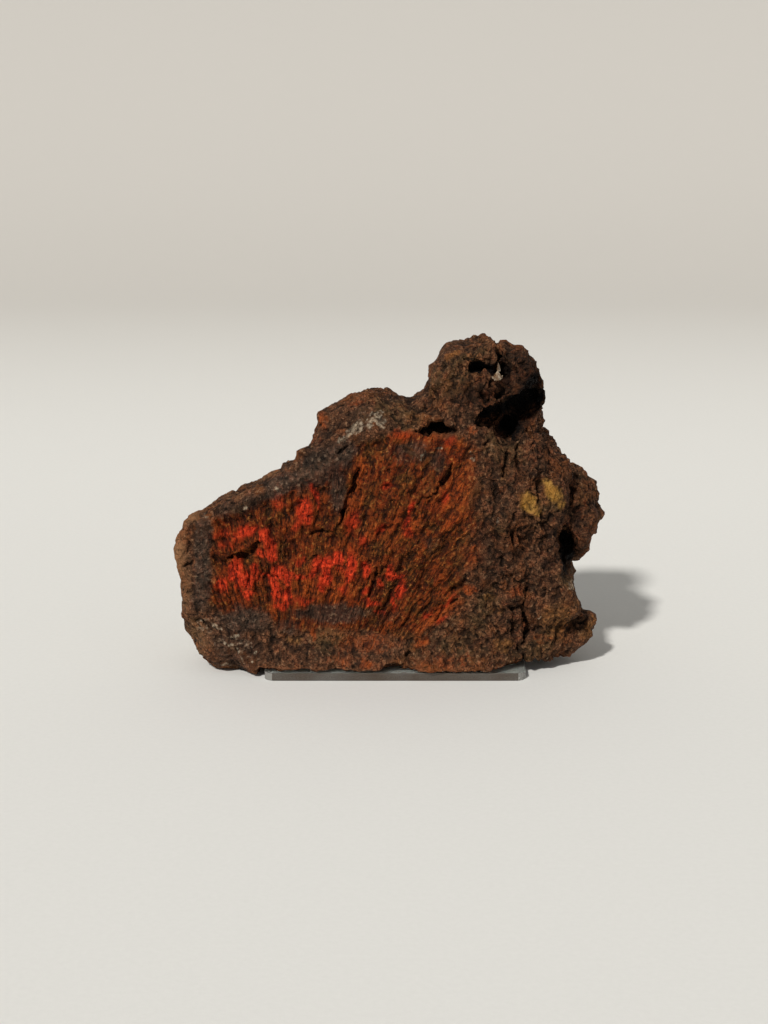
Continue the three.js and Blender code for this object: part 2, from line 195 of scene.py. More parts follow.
# Patches on the front, as (x, z, half width, half height, tilt, strength) of each. These
# are the minerals.
RED = [
    (-22.8, 42.0, 2.0, 3.0, 8, 0.8), (-20.2, 46.6, 0.8, 2.6, 22, 0.8),
    (-18.8, 43.2, 0.6, 1.6, 10, 0.6), (-24.6, 38.8, 1.0, 2.2, -24, 0.55),
    (-29.2, 44.4, 1.8, 2.0, 0, 0.5), (-36.6, 37.3, 3.0, 1.4, 14, 0.85),
    (-39.8, 35.6, 1.6, 1.6, 0, 0.55), (-44.2, 36.0, 2.4, 1.1, 0, 0.5),
    (-32.6, 36.2, 1.8, 1.8, -30, 0.8), (-31.0, 33.2, 1.7, 2.8, 18, 0.8),
    (-30.8, 30.4, 1.5, 1.4, 0, 0.85), (-33.6, 31.6, 1.4, 1.0, 0, 0.6),
    (-42.0, 33.4, 3.0, 1.2, 0, 0.45), (-40.8, 25.8, 1.5, 2.2, 0, 0.95),
    (-39.2, 28.2, 1.2, 1.6, -20, 0.8), (-37.6, 24.6, 3.0, 1.7, -10, 0.9),
    (-34.8, 27.0, 1.1, 2.0, 0, 0.75), (-43.8, 23.2, 1.3, 2.2, 0, 0.7),
    (-37.2, 20.7, 1.7, 1.3, 10, 1.0), (-39.2, 22.4, 0.8, 1.4, 0, 0.6),
    (-28.8, 26.6, 1.9, 1.9, 0, 0.9), (-27.0, 24.8, 1.2, 2.2, 0, 0.9),
    (-30.4, 22.6, 1.3, 3.4, 22, 1.0), (-32.6, 25.2, 0.8, 1.8, 24, 0.8),
    (-27.0, 20.2, 1.3, 2.0, 0, 0.95), (-28.2, 17.9, 2.3, 1.0, 6, 0.7),
    (-23.8, 25.8, 1.7, 1.0, 0, 0.65), (-20.4, 26.2, 1.2, 1.2, 0, 0.75),
    (-22.8, 19.2, 2.6, 1.2, 0, 0.5), (-24.4, 29.4, 1.6, 1.0, 0, 0.5),
    (-17.6, 28.7, 3.2, 1.6, 12, 1.2), (-14.8, 29.8, 1.6, 1.8, -20, 1.1),
    (-17.4, 25.4, 1.2, 2.8, -6, 1.1), (-18.4, 22.4, 0.9, 1.2, 0, 0.7),
    (-11.0, 28.8, 1.2, 3.0, -8, 0.9), (-11.8, 25.2, 1.2, 2.6, -8, 0.8),
    (-12.8, 21.8, 1.0, 1.6, -8, 0.6), (-13.4, 27.4, 0.7, 2.2, 0, 0.5),
    (-7.3, 27.2, 1.0, 1.8, 0, 0.85), (-7.2, 21.6, 0.8, 1.4, -10, 0.6),
    (-5.8, 18.9, 1.6, 1.0, 8, 0.7), (-3.9, 23.4, 1.0, 1.9, 0, 0.55),
    (-1.2, 26.0, 1.1, 1.6, 0, 0.9), (1.3, 25.3, 1.6, 0.9, 0, 0.8),
    (1.7, 22.0, 0.9, 2.4, -4, 0.8), (-0.2, 18.8, 0.6, 2.0, 0, 0.6),
    (-3.4, 16.2, 1.6, 0.8, 0, 0.5), (3.7, 43.2, 0.8, 1.6, -20, 0.8),
    (3.0, 39.8, 0.8, 2.4, -18, 0.75), (3.4, 36.2, 1.6, 1.4, -10, 0.55),
    (-3.6, 37.6, 1.6, 1.1, 30, 0.6), (-8.0, 34.2, 1.5, 2.0, 0, 0.5),
    (-10.8, 39.0, 1.6, 3.4, -14, 0.65), (-2.0, 49.0, 1.2, 0.8, 0, 0.5),
    (12.2, 45.8, 1.2, 1.8, -20, 0.5), (8.0, 15.4, 1.8, 0.7, 40, 0.55),
    (11.8, 14.2, 1.6, 0.8, 30, 0.5), (13.4, 19.2, 2.6, 0.6, 42, 0.5),
    (13.4, 59.6, 1.6, 1.0, 10, 0.4), (1.4, 61.6, 2.4, 1.2, 0, 0.3),
]
ORANGE = [
    (-11.4, 40.2, 2.0, 5.4, -14, 0.9), (-8.8, 50.0, 1.4, 6.6, -4, 0.75),
    (-17.4, 23.6, 9.0, 5.4, 0, 0.75), (-28.0, 21.0, 3.6, 4.4, 0, 0.7),
    (-26.0, 38.0, 2.0, 2.8, -30, 0.6), (-13.0, 31.4, 5.0, 3.4, 0, 0.6),
    (-7.6, 28.0, 3.0, 5.0, 0, 0.5), (-4.2, 36.8, 3.4, 3.0, 0, 0.55),
    (-38.0, 24.0, 6.4, 4.6, 0, 0.55), (-36.0, 34.0, 8.0, 4.0, 0, 0.35),
    (14.8, 45.0, 4.0, 6.4, -12, 0.6), (17.2, 52.6, 2.4, 3.4, -20, 0.5),
    (14.6, 38.0, 3.6, 4.6, 0, 0.4), (18.4, 32.4, 2.2, 4.4, 0, 0.4),
    (14.8, 59.0, 4.2, 1.9, 14, 0.5), (1.6, 61.2, 3.4, 1.8, 0, 0.6),
    (18.2, 62.0, 1.6, 1.8, -20, 0.4), (-30.6, 17.6, 0.45, 3.6, 0, 0.8),
    (18.4, 22.8, 2.0, 1.3, -20, 0.7), (10.6, 15.4, 6.6, 2.2, 40, 0.65),
    (11.8, 4.4, 8.8, 2.0, 4, 0.42), (18.4, 7.4, 2.6, 1.0, 10, 0.4),
    (6.6, 9.2, 2.0, 1.8, 0, 0.7), (-20.4, 11.4, 0.8, 1.8, -14, 0.7),
    (-8.0, 8.8, 9.0, 2.4, 0, 0.5), (-7.6, 4.0, 2.0, 1.6, 0, 0.6),
    (-14.0, 5.4, 4.0, 1.8, 0, 0.45), (37.0, 9.0, 3.0, 2.0, 0, 0.35),
    (30.8, 22.4, 2.0, 1.4, 0, 0.5), (-9.6, 44.0, 1.6, 4.0, -10, 0.7),
    (0.6, 34.0, 4.0, 2.4, 20, 0.5), (4.0, 38.0, 2.4, 5.0, -16, 0.5),
    (13.4, 80.8, 2.2, 1.6, 20, 0.55),
    (-17.8, 64.6, 1.2, 3.0, 0, 0.55), (-11.0, 68.0, 4.0, 1.0, 16, 0.45),
    (-25.0, 53.0, 5.0, 0.8, 38, 0.35), (26.4, 47.6, 2.2, 1.4, 0, 0.35),
]
OCHRE = [
    (33.1, 44.2, 2.7, 1.5, -46, 1.0), (39.3, 46.2, 2.9, 1.6, -58, 1.0),
    (41.6, 43.0, 1.4, 1.0, -50, 0.6), (35.6, 41.4, 1.6, 0.9, -40, 0.6),
]
AMBER = [
    (23.4, 20.6, 1.3, 0.9, 0, 0.9), (27.2, 8.2, 2.6, 2.2, 0, 0.7),
    (26.2, 17.2, 1.6, 1.4, 0, 0.5), (-25.6, 9.4, 2.2, 1.6, 0, 0.65),
    (3.2, 11.0, 3.0, 0.9, 0, 0.6), (6.0, 10.0, 1.6, 1.0, 0, 0.5),
    (-22.8, 12.4, 1.2, 1.2, 0, 0.45), (-39.0, 43.4, 4.0, 1.6, 26, 0.45),
    (13.4, 80.8, 2.4, 2.0, 0, 0.9), (7.4, 48.6, 2.0, 4.4, -30, 0.45),
    (2.8, 51.0, 1.2, 4.4, -20, 0.45), (46.6, 18.4, 1.6, 2.4, 0, 0.5),
    (26.8, 51.0, 1.8, 1.6, 0, 0.5), (19.0, 81.0, 4.0, 2.0, 0, 0.4),
    (36.0, 39.0, 5.0, 4.0, -30, 0.4), (41.0, 14.0, 5.0, 6.0, 0, 0.65),
    (50.2, 9.6, 3.0, 3.6, -30, 0.65), (36.0, 8.0, 3.0, 4.0, 0, 0.4),
    (16.0, 31.0, 3.0, 4.0, -20, 0.4),
    (-30.0, 44.0, 3.6, 1.6, 20, 0.4), (42.0, 18.0, 4.0, 4.0, 0, 0.4),
]
GREY = [
    (-48.4, 30.0, 2.2, 12.0, 0, 0.95), (-47.6, 39.0, 2.2, 3.0, 0, 0.8),
    (-38.6, 43.6, 7.0, 2.2, 24, 0.7), (-27.0, 49.0, 9.0, 2.4, 24, 1.0),
    (-18.6, 53.0, 8.0, 4.4, 33, 1.0), (-14.6, 48.0, 2.6, 6.0, 0, 0.85),
    (-14.0, 56.4, 5.0, 3.0, 30, 0.9), (4.0, 57.4, 6.6, 3.0, 0, 0.65),
    (10.4, 54.6, 2.2, 4.0, 0, 0.6), (-38.4, 14.6, 6.6, 3.6, 0, 0.85),
    (-40.0, 7.0, 8.0, 6.0, -30, 0.6),
    (-16.0, 16.0, 10.0, 2.4, 0, 0.95), (-2.6, 15.6, 5.0, 1.6, 0, 0.45),
    (-27.0, 12.6, 3.0, 2.0, 0, 0.6), (9.0, 33.4, 2.2, 2.4, 0, 0.5),
    (-8.0, 65.2, 4.0, 3.0, 30, 0.5), (-49.4, 20.0, 3.0, 4.0, 0, 0.7),
]
PALE = [
    (-12.2, 60.8, 2.8, 0.7, 42, 0.8), (-9.4, 62.8, 2.4, 1.0, 34, 0.85),
    (-6.6, 64.2, 2.2, 1.2, 28, 0.78), (-4.2, 65.4, 1.6, 1.0, 30, 0.78),
    (-3.0, 63.8, 1.3, 1.2, 0, 0.85), (-4.0, 62.6, 1.0, 0.4, 36, 0.5),
    (-37.6, 43.0, 0.8, 0.6, 30, 0.7), (-46.8, 41.4, 1.1, 0.5, 30, 0.6),
    (-28.8, 47.9, 0.8, 0.6, 0, 0.6), (-25.6, 51.2, 0.7, 0.4, 0, 0.5),
    (-34.8, 6.7, 0.5, 0.45, 0, 2.2), (-35.8, 4.0, 0.45, 0.4, 0, 2.0),
    (-40.3, 10.6, 1.2, 0.9, 0, 0.75), (-45.4, 13.4, 1.8, 0.6, -34, 0.8),
    (-48.9, 14.3, 1.6, 0.5, 20, 0.7), (-42.2, 8.3, 1.6, 0.5, -40, 0.7),
    (-40.1, 6.2, 1.5, 0.5, -52, 0.7), (-38.9, 4.2, 0.5, 1.2, 0, 0.7),
    (-43.2, 2.1, 2.6, 0.5, -8, 0.6), (-38.0, 9.2, 2.2, 1.6, 0, 0.4),
    (-48.0, 12.0, 2.2, 1.2, 0, 0.45), (-44.8, 9.6, 2.4, 1.6, 0, 0.35),
    (3.7, 44.4, 0.6, 0.3, 0, 0.8), (18.8, 56.4, 0.9, 0.6, 0, 0.6),
    (19.2, 55.0, 0.5, 0.5, 0, 0.6), (7.2, 57.0, 0.35, 1.6, -24, 0.7),
    (10.6, 58.4, 0.7, 0.5, 0, 0.6), (44.4, 23.2, 1.4, 0.9, -34, 0.85),
    (46.2, 21.6, 0.5, 1.0, 0, 0.7), (39.4, 2.9, 0.4, 0.4, 0, 1.0),
    (36.4, 62.6, 1.1, 1.2, 0, 0.6), (22.4, 36.2, 0.8, 0.5, 0, 0.5),
    (26.0, 39.0, 0.4, 0.9, 0, 0.5), (36.6, 14.8, 0.7, 0.3, 0, 0.6),
    (6.2, 3.2, 0.7, 0.4, 0, 0.5),
]
MINERALS = {
    "red": RED, "orange": ORANGE, "ochre": OCHRE, "grey": GREY, "amber": AMBER, "pale": PALE,
}
# Painted shadows under the knob and in hollows; the seventh number is the depth y where each
# begins.
PAINTED_SHADOWS = [
    (28.6, 61.3, 3.4, 2.0, 0, 1.0, -12.0), (32.6, 67.4, 4.4, 2.6, 16, 1.0, -12.0),
    (36.2, 68.0, 2.0, 3.0, 0, 0.8, -7.5), (27.6, 65.8, 3.0, 1.4, 22, 0.85, -9.5),
    (23.4, 65.4, 3.0, 1.3, 20, 0.9, -10.5), (21.2, 76.9, 2.8, 1.8, 0, 1.0, -9.2),
    (23.8, 76.8, 1.6, 1.5, 0, 0.9, -9.2), (8.6, 62.0, 2.6, 0.55, 4, 1.0, -12.2),
    (11.6, 62.5, 2.2, 1.0, 0, 1.0, -12.2), (44.8, 29.0, 1.5, 4.4, 10, 0.95, -9.5),
    (33.6, 69.6, 3.4, 3.0, 20, 0.75, -16.0), (34.4, 73.0, 3.0, 2.6, 30, 0.8, -20.0),
    (29.8, 69.0, 1.9, 1.7, 0, 0.85, -20.0), (31.4, 71.6, 1.6, 1.4, 0, 0.65, -20.0),
    (29.4, 62.8, 2.8, 2.0, 0, 0.9, -20.0), (32.4, 64.2, 2.2, 1.6, 0, 0.72, -20.0),
    (26.6, 65.6, 1.8, 1.2, 15, 0.8, -20.0), (27.6, 77.0, 0.9, 2.6, 14, 0.6, -20.0),
    (43.6, 27.6, 1.3, 2.8, 6, 0.8, -16.0),
]
# In these five the strength is millimetres or a share: parts of the front that lie further
# back or forward, places that stand out further or are cut away, and calmer relief.
SET_BACK = [
    (38.6, 74.0, 3.6, 8.0, 0, 4.0), (35.4, 67.4, 3.0, 2.2, -6, 3.6),
    (32.2, 64.6, 2.6, 1.2, 0, 1.8), (46.8, 25.6, 1.6, 1.8, 0, 2.0),
]
BROUGHT_FORWARD = [
    (-24.0, -1.0, 11.0, 6.5, 0, 4.0), (-6.0, -1.0, 12.0, 6.5, 0, 4.0),
    (8.0, -1.0, 6.0, 7.0, 0, 4.5), (20.0, -1.0, 9.0, 6.5, 0, 4.3),
]
FULLER = [
    (-46.0, 4.4, 5.0, 2.8, -44, 3.0), (12.6, 81.6, 3.0, 2.6, 0, 0.5),
    (36.4, 79.6, 1.8, 2.6, 0, 2.1), (-9.0, 69.6, 4.0, 1.6, 0, 0.35),
    (-3.6, 71.4, 4.0, 1.6, 0, 0.7), (40.6, 59.0, 3.0, 5.0, 40, 1.1),
    (40.0, 72.6, 1.4, 3.6, 0, 1.2), (49.5, 50.6, 2.2, 1.6, 0, 1.6),
    (49.2, 23.4, 1.4, 3.0, 0, 1.2), (9.6, 74.2, 1.2, 1.8, 0, 0.8),
    (-54.8, 33.0, 1.6, 9.0, 0, 0.3), (-47.4, 39.6, 3.4, 1.4, 24, 0.8),
    (-36.8, 45.4, 3.6, 1.2, 24, 0.6),
]
TRIMMED = [
    (31.6, 83.9, 3.6, 2.4, 0, 2.6), (51.4, 48.0, 1.8, 2.8, 0, 1.1), (52.4, 42.0, 1.4, 2.0, 0, 0.5),
    (39.4, 68.4, 1.6, 2.4, 0, 0.9), (50.6, 31.0, 2.6, 2.6, 0, 0.3),
]
CALM = [
    (15.6, 46.0, 5.0, 9.0, -12, 0.55), (-18.9, 15.3, 10.0, 2.6, 0, 0.75),
    (-6.0, 7.4, 14.0, 4.4, 0, 0.45),
    (-28.0, 18.0, 6.0, 5.0, 0, 0.3), (-14.0, 28.0, 8.0, 4.0, 0, 0.3),
    (40.0, 13.0, 6.0, 6.0, 0, 0.35),
]
# Places painted darker, which under and beside the knob is painted shade; and the lighter rim at
# the left.
DIMMED_AND_SHADED = [
    (46.5, 42.9, 4.5, 7.8, 0, 0.6), (-19.2, 58.3, 5.0, 3.0, 30, 0.3),
    (35.0, 73.0, 3.0, 3.0, 0, 1.0),
    (22.6, 70.2, 7.0, 2.6, -8, 0.7), (31.0, 74.6, 3.6, 5.6, 0, 0.6),
    (31.6, 66.4, 5.6, 4.4, 0, 0.9), (34.6, 73.4, 3.4, 5.0, 0, 0.8),
    (27.4, 72.6, 4.6, 5.0, 0, 0.8), (31.6, 79.0, 3.0, 4.0, 0, 0.4), (41.0, 55.0, 6.0, 6.0, 0, 0.35),
    (24.0, 33.0, 3.6, 11.0, 0, 0.45), (47.6, 34.0, 3.0, 6.0, 0, 0.5),
    (39.4, 34.0, 2.6, 6.0, 0, 0.4),
    (31.6, 14.0, 2.2, 9.0, 0, 0.5), (20.6, 71.0, 6.4, 3.6, 0, 1.0), (32.4, 77.0, 4.4, 5.4, 0, 0.9),
    (-37.8, 43.2, 5.0, 1.8, 24, 0.5), (31.0, 53.2, 6.0, 4.0, 0, 0.4),
    (28.6, 35.4, 6.0, 6.0, 0, 0.35),
    (33.0, 69.6, 4.0, 3.6, 10, 1.0), (-4.0, 49.0, 5.0, 5.0, 0, 0.3),
    (-12.6, 44.0, 2.0, 6.0, 0, 0.3),
]
WARM_RIM = [
    (-54.6, 31.0, 1.8, 5.6, 0, 0.9), (-52.0, 40.4, 3.6, 1.8, 34, 0.7),
    (-42.0, 46.6, 6.0, 1.0, 22, 0.7), (-33.0, 50.0, 4.0, 0.9, 26, 0.5),
    (-53.0, 22.0, 1.6, 6.0, 0, 0.4), (-50.0, 10.0, 3.0, 4.0, 0, 0.35),
]


# ---------------------------------------------------------------- numbers and noise

NOISE_GAIN = 1.6        # brings gradient noise to about -1 to 1
TEN_BITS = 1023
GRAIN_NUMBERS = 997     # how many different numbers the grains have
PATCH_EDGE = (1.7, 0.35)   # in half sizes: where a patch ends and where it is full
# The depth over which a painted shadow fades in, behind the depth where it begins.
PAINTED_SHADOW_EDGE = 2.0


def colour(name):
    """A colour of the palette, as linear red, green and blue with full alpha."""
    parts = [int(PALETTE[name][i:i + 2], 16) / 255 for i in (0, 2, 4)]
    linear = [p / 12.92 if p <= 0.04045 else ((p + 0.055) / 1.055) ** 2.4 for p in parts]
    return (*linear, 1.0)


def smoothstep(value, low, high):
    t = np.clip((value - low) / (high - low), 0, 1)
    return t * t * (3 - 2 * t)


def unit(vectors):
    return vectors / np.maximum(np.linalg.norm(vectors, axis=1, keepdims=True), 1e-6)


SLOPES = unit(np.random.default_rng(7).normal(size=(256, 3)))


def scatter(cell, seed):
    """A scattered whole number for each cell of a grid."""
    mask = 0xFFFFFFFF
    h = (cell[:, 0] * 73856093) ^ (cell[:, 1] * 19349663) ^ (cell[:, 2] * 83492791)
    h = (h ^ (seed * 668265263)) & mask
    h = ((h ^ (h >> 15)) * 2246822519) & mask
    h = ((h ^ (h >> 13)) * 3266489917) & mask
    return h ^ (h >> 16)


def noise(points, size, seed):
    """Gradient noise from about -1 to 1, with swells of the given size."""
    p = points / size
    cell = np.floor(p).astype(np.int64)
    f = p - cell
    fade = f * f * f * (f * (f * 6 - 15) + 10)
    total = np.zeros(len(p))
    for corner in itertools.product((0, 1), repeat=3):
        step = np.array(corner)
        slope = SLOPES[scatter(cell + step, seed) % len(SLOPES)]
        share = np.where(step == 1, fade, 1 - fade).prod(axis=1)
        total += share * ((f - step) * slope).sum(axis=1)
    return total * NOISE_GAIN


def drift(points, size, seeds):
    """Noise in as many directions as there are seeds."""
    return np.stack([noise(points, size, seed) for seed in seeds], axis=1)


def grains(points, size, seed):
    """For grains of the given size: the distance to the nearest grain's middle, how much
    further the next one is, and a number from 0 to 1 that belongs to the grain."""
    p = points / size
    cell = np.floor(p).astype(np.int64)
    nearest = np.full(len(p), 9.0)
    second = np.full(len(p), 9.0)
    own = np.zeros(len(p), np.int64)
    for offset in itertools.product((-1, 0, 1), repeat=3):
        there = cell + np.array(offset)
        h = scatter(there, seed)
        jitter = np.stack([(h >> shift) & TEN_BITS for shift in (0, 10, 20)], axis=1) / TEN_BITS
        d = np.sqrt(((p - there - jitter) ** 2).sum(axis=1))
        closer = d < nearest
        second = np.where(closer, nearest, np.minimum(second, d))
        own = np.where(closer, h, own)
        nearest = np.where(closer, d, nearest)
    return nearest, second - nearest, (own % GRAIN_NUMBERS) / GRAIN_NUMBERS


def from_line(points, line):
    """How far the points (x, z) lie from an open line."""
    nearest = np.full(len(points), 1e9)
    x, z = points[:, 0], points[:, 1]
    for (ax, az), (bx, bz) in zip(line, line[1:]):
        along = ((x - ax) * (bx - ax) + (z - az) * (bz - az)) / ((bx - ax) ** 2 + (bz - az) ** 2)
        t = np.clip(along, 0, 1)
        nearest = np.minimum(nearest, np.hypot(x - ax - t * (bx - ax), z - az - t * (bz - az)))
    return nearest


def inside(points, ring):
    """How far the points (x, z) lie inside a closed outline, negative outside it."""
    closed = ring + ring[:1]
    nearest = from_line(points, closed)
    within = np.zeros(len(points), bool)
    x, z = points[:, 0], points[:, 1]
    for (ax, az), (bx, bz) in zip(closed, closed[1:]):
        if az != bz:
            within ^= ((az > z) != (bz > z)) & (x < ax + (z - az) / (bz - az) * (bx - ax))
    return np.where(within, nearest, -nearest)


def patches(x, z, marks, y=None):
    """The strongest of the marks at each point, soft at their edges."""
    field = np.zeros(len(x))
    for mark_x, mark_z, wide, high, tilt, strength, *behind in marks:
        cos, sin = math.cos(math.radians(tilt)), math.sin(math.radians(tilt))
        across = (x - mark_x) * cos + (z - mark_z) * sin
        up = (z - mark_z) * cos - (x - mark_x) * sin
        reach = np.sqrt((across / wide) ** 2 + (up / high) ** 2)
        share = strength * smoothstep(reach, *PATCH_EDGE)
        # Painted shadows begin only behind their own depth.
        if behind:
            share *= smoothstep(y, behind[0], behind[0] + PAINTED_SHADOW_EDGE)
        field = np.maximum(field, share)
    return field


# ---------------------------------------------------------------- the rock's shape

class Skin:
    """The points of a mesh in millimetres, with the sums over its edges and faces."""

    def __init__(self, mesh):
        count = len(mesh.vertices)
        self.mesh = mesh
        self.points = np.empty(count * 3, np.float32)
        mesh.vertices.foreach_get("co", self.points)
        self.points = self.points.reshape(-1, 3).astype(float) / MM
        edges = np.empty(len(mesh.edges) * 2, np.int32)
        mesh.edges.foreach_get("vertices", edges)
        self.a, self.b = edges.reshape(-1, 2).T
        self.degree = np.bincount(self.a, minlength=count) + np.bincount(self.b, minlength=count)
        self.degree = np.maximum(self.degree, 1)

    def around(self, values):
        """The mean of a value over each point's neighbours."""
        count = len(self.points)
        if values.ndim == 2:
            return np.stack([self.around(v) for v in values.T], axis=1)
        total = np.bincount(self.a, values[self.b], count)
        total += np.bincount(self.b, values[self.a], count)
        return total / self.degree

    def relaxed(self, values, times, share=0.6):
        for _ in range(times):
            values = values + share * (self.around(values) - values)
        return values

    def store(self):
        self.mesh.vertices.foreach_set("co", (self.points * MM).astype(np.float32).ravel())
        self.mesh.update()

    def normals(self):
        self.store()
        out = np.empty(len(self.points) * 3, np.float32)
        self.mesh.vertex_normals.foreach_get("vector", out)
        return out.reshape(-1, 3).astype(float)


def on_knob(p):
    """1 on the knob at the top, fading to 0 at its neck."""
    return smoothstep(p[:, 2], *KNOB["from_z"]) * smoothstep(p[:, 0], *KNOB["from_x"])


def fibre_places(p):
    """The fan of fibres: how many fibres across, and how far along in fibre lengths."""
    root_x, root_z = FIBRES["root"]
    angle = np.arctan2(p[:, 2] - root_z, p[:, 0] - root_x)
    far = np.hypot(p[:, 2] - root_z, p[:, 0] - root_x)
    middle = FIBRES["middle"] / FIBRES["apart"]
    return np.stack([angle * middle, p[:, 1] / FIBRES["thick"], far / FIBRES["long"]], axis=1)


def vein_share(p, normal):
    """1 where the fibrous cinnabar lies open on the front face, 0 on the matrix. Its edge
    is ragged, and softer at its right end."""
    inset = inside(p[:, [0, 2]], VEIN_OUTLINE)
    right = smoothstep(p[:, 0], 8, 20)
    inset += (1.6 + 1.6 * right) * noise(p, 6.5, 21) + (0.7 + 0.8 * right) * noise(p, 2.2, 22)
    deep_enough = smoothstep(p[:, 1], -7, -12)
    facing = smoothstep(-normal[:, 1], 0.0, 0.35)
    edge = 1.1 + 3.4 * right
    return smoothstep(inset / edge, -0.8, 1.2) * deep_enough * facing


def fractal(p, size, octaves, gain, seed):
    """Gradient noise summed over octaves, each half the size of the one before."""
    total = np.zeros(len(p))
    for k in range(octaves):
        total += gain ** k * noise(p, size / 2 ** k, seed + k)
    return total


def billows(p, size, octaves, gain, seed):
    """Rounded swells with sharp, winding valleys between them, summed over octaves."""
    total = np.zeros(len(p))
    for k in range(octaves):
        total += gain ** k * (np.abs(noise(p, size / 2 ** k, seed + k)) - 0.3)
    return total


def crumbs(p, size, seed, dome, step, crevice):
    """Rounded crumbs of the given size, some higher than others, parted by crevices."""
    near, gap, own = grains(p, size, seed)
    return dome * (0.45 - near) + step * (own - 0.5) - crevice * smoothstep(gap, 0.14, 0)


def pits(p, size, seed, reach, without):
    """1 in the middle of round pits, which the given share of the grains lack."""
    near, _, own = grains(p, size, seed)
    return smoothstep(near, *reach) * (own > without)


def crumbled(p, lumpy, wear):
    """The granular matrix: upright lumps, with crumbs and small pits on them."""
    warp = drift(p, 2.6, (31, 32, 33)) + 0.45 * drift(p, 1.1, (34, 35, 36))
    q = p + 0.8 * warp
    upright = q * UPRIGHT
    height = 0.9 * fractal(upright, 8.0, 2, 0.5, 110) + 2.0 * billows(upright, 5.2, 3, 0.6, 120)
    height += lumpy * crumbs(upright + 1.2 * warp, *LUMPS)
    rough = (0.85 + 0.7 * noise(p, 7.0, 62)) * wear
    height += rough * sum(crumbs(q, *layer) for layer in CRUMBS)
    height += 0.6 * rough * crumbs(q, *GRIT)
    return height - 0.8 * pits(q, *SMALL_PITS) - 2.6 * lumpy * pits(upright, *POCKETS)


def fibred(p):
    """The broken fibrous face: ridges along the fan, snapped off at different heights,
    with fine fibres and crumbs on them."""
    q = fibre_places(p)
    q[:, 0] += 0.9 * noise(p, 5.0, 41) + 0.35 * noise(p, 1.5, 45)
    q[:, 2] += 0.4 * noise(p, 1.8, 44)
    height = 0.16 * noise(q, 1.0, 42) + 0.2 * noise(q * (2.0, 1, 2.2), 1.0, 43)
    height += 1.5 * billows(q * (0.21, 0.2, 0.5), 1.0, 2, 0.6, 150)
    height += 1.0 * billows(q * (0.5, 0.3, 1.0), 1.0, 3, 0.66, 140)
    for stretch, layer in TUFTS:
        height += crumbs(q * stretch, *layer)
    height += crumbs(p + 0.5 * noise(p, 1.2, 46)[:, None], *TUFT_CRUMBS)
    return height - 0.6 * pits(p, *FIBRE_PITS) + 0.7 * fractal(p, 4.6, 3, 0.6, 130)


def creased(p, front):
    """How deep the creases cut: ragged, with gaps where crumbs bridge them."""
    depth = np.zeros(len(p))
    flat = p[:, [0, 2]] + 0.55 * drift(p, 1.9, (51, 52)) + 0.25 * drift(p, 0.8, (53, 54))
    open_share = smoothstep(noise(p, 2.4, 55), -0.7, 0.1)
    for line, wide, deep in CREASES:
        away = from_line(flat, line)
        ends = np.min([np.hypot(*(flat - end).T) for end in (line[0], line[-1])], axis=0)
        taper = 0.4 * math.dist(line[0], line[-1])
        half = wide * (0.3 + 0.7 * smoothstep(ends, 0, taper))
        cut = deep * smoothstep(away, 1.7 * half, 0.2 * half) * (0.35 + 0.65 * open_share)
        cut += 0.16 * deep * smoothstep(away, 4.5 * half, 0.8 * half)
        depth = np.maximum(depth, cut)
    return -depth * front


def added(name, data):
    """A new object in the scene."""
    thing = bpy.data.objects.new(name, data)
    bpy.context.scene.collection.objects.link(thing)
    return thing


def rock_copy():
    """The frame's rock as a new object, with the plugs joined to it."""
    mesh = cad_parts["cinnabar_rock"].data.copy()
    solid = bmesh.new()
    solid.from_mesh(mesh)
    for middle, radii in PLUGS:
        stretch = Matrix.Diagonal((*(Vector(radii) * MM), 1))
        place = Matrix.Translation(Vector(middle) * MM) @ stretch
        bmesh.ops.create_icosphere(solid, subdivisions=3, radius=1.0, matrix=place)
    solid.to_mesh(mesh)
    solid.free()
    rock = added("rock_skin", mesh)
    rock.data.materials.clear()
    return rock


def apply_modifiers(obj):
    graph = bpy.context.evaluated_depsgraph_get()
    graph.update()
    mesh = bpy.data.meshes.new_from_object(obj.evaluated_get(graph))
    obj.modifiers.clear()
    obj.data = mesh


def remeshed(rock):
    remesh = rock.modifiers.new("even", "REMESH")
    remesh.mode = "VOXEL"
    remesh.voxel_size = ROCK["voxel"] * MM
    apply_modifiers(rock)


def cracks_filled(skin):
    """Nearly closes the broad cracks, and gives each point's distance from them."""
    flat = skin.points[:, [0, 2]]
    near_crack = np.min([from_line(flat, line) for line in FILLED], axis=0)
    fill = smoothstep(near_crack, *FILL["reach"]) * smoothstep(skin.points[:, 1], -4, -9)
    for _ in range(FILL["passes"]):
        skin.points += (FILL["share"] * fill)[:, None] * (skin.around(skin.points) - skin.points)
    return near_crack


def relief(p, normal, near_crack):
    """How far each point of the rock stands out along its normal."""
    x, z = p[:, 0], p[:, 2]
    vein = vein_share(p, normal)
    front = smoothstep(-normal[:, 1], -0.1, 0.3) * smoothstep(p[:, 1], 0, -6)
    worn = patches(x, z, GREY) * front
    knob = on_knob(p)
    lobe = smoothstep(x, 40, 46)
    coarse = 0.72 + 0.3 * smoothstep(x, 12, 30) + 0.15 * noise(p, 14, 61)
    coarse *= 1 - 0.4 * patches(x, z, WARM_RIM)
    coarse += 0.45 * knob * front
    coarse *= 1 - 0.3 * lobe
    lumpy = 0.25 + 0.45 * smoothstep(x, 14, 28) + 0.35 * knob
    smooth = np.maximum(0.4 * worn, 0.85 * patches(x, z, OCHRE) * front)
    wear = (0.65 + 0.35 * front) * (1 - 0.4 * lobe) * (1 - 0.2 * knob)
    calm = (1 - patches(x, z, CALM)) * (0.82 + 0.5 * noise(p, 8.0, 63))
    height = (1 - vein) * coarse * (1 - smooth) * calm * crumbled(p, lumpy, wear)
    height += vein * (1 - 0.45 * worn) * calm * fibred(p)
    height += creased(p, front) + 0.9 * smoothstep(near_crack, 2.4, 0.7) * front
    height += 0.12 * patches(x, z, PALE) * front
    return height + (patches(x, z, FULLER) - patches(x, z, TRIMMED))


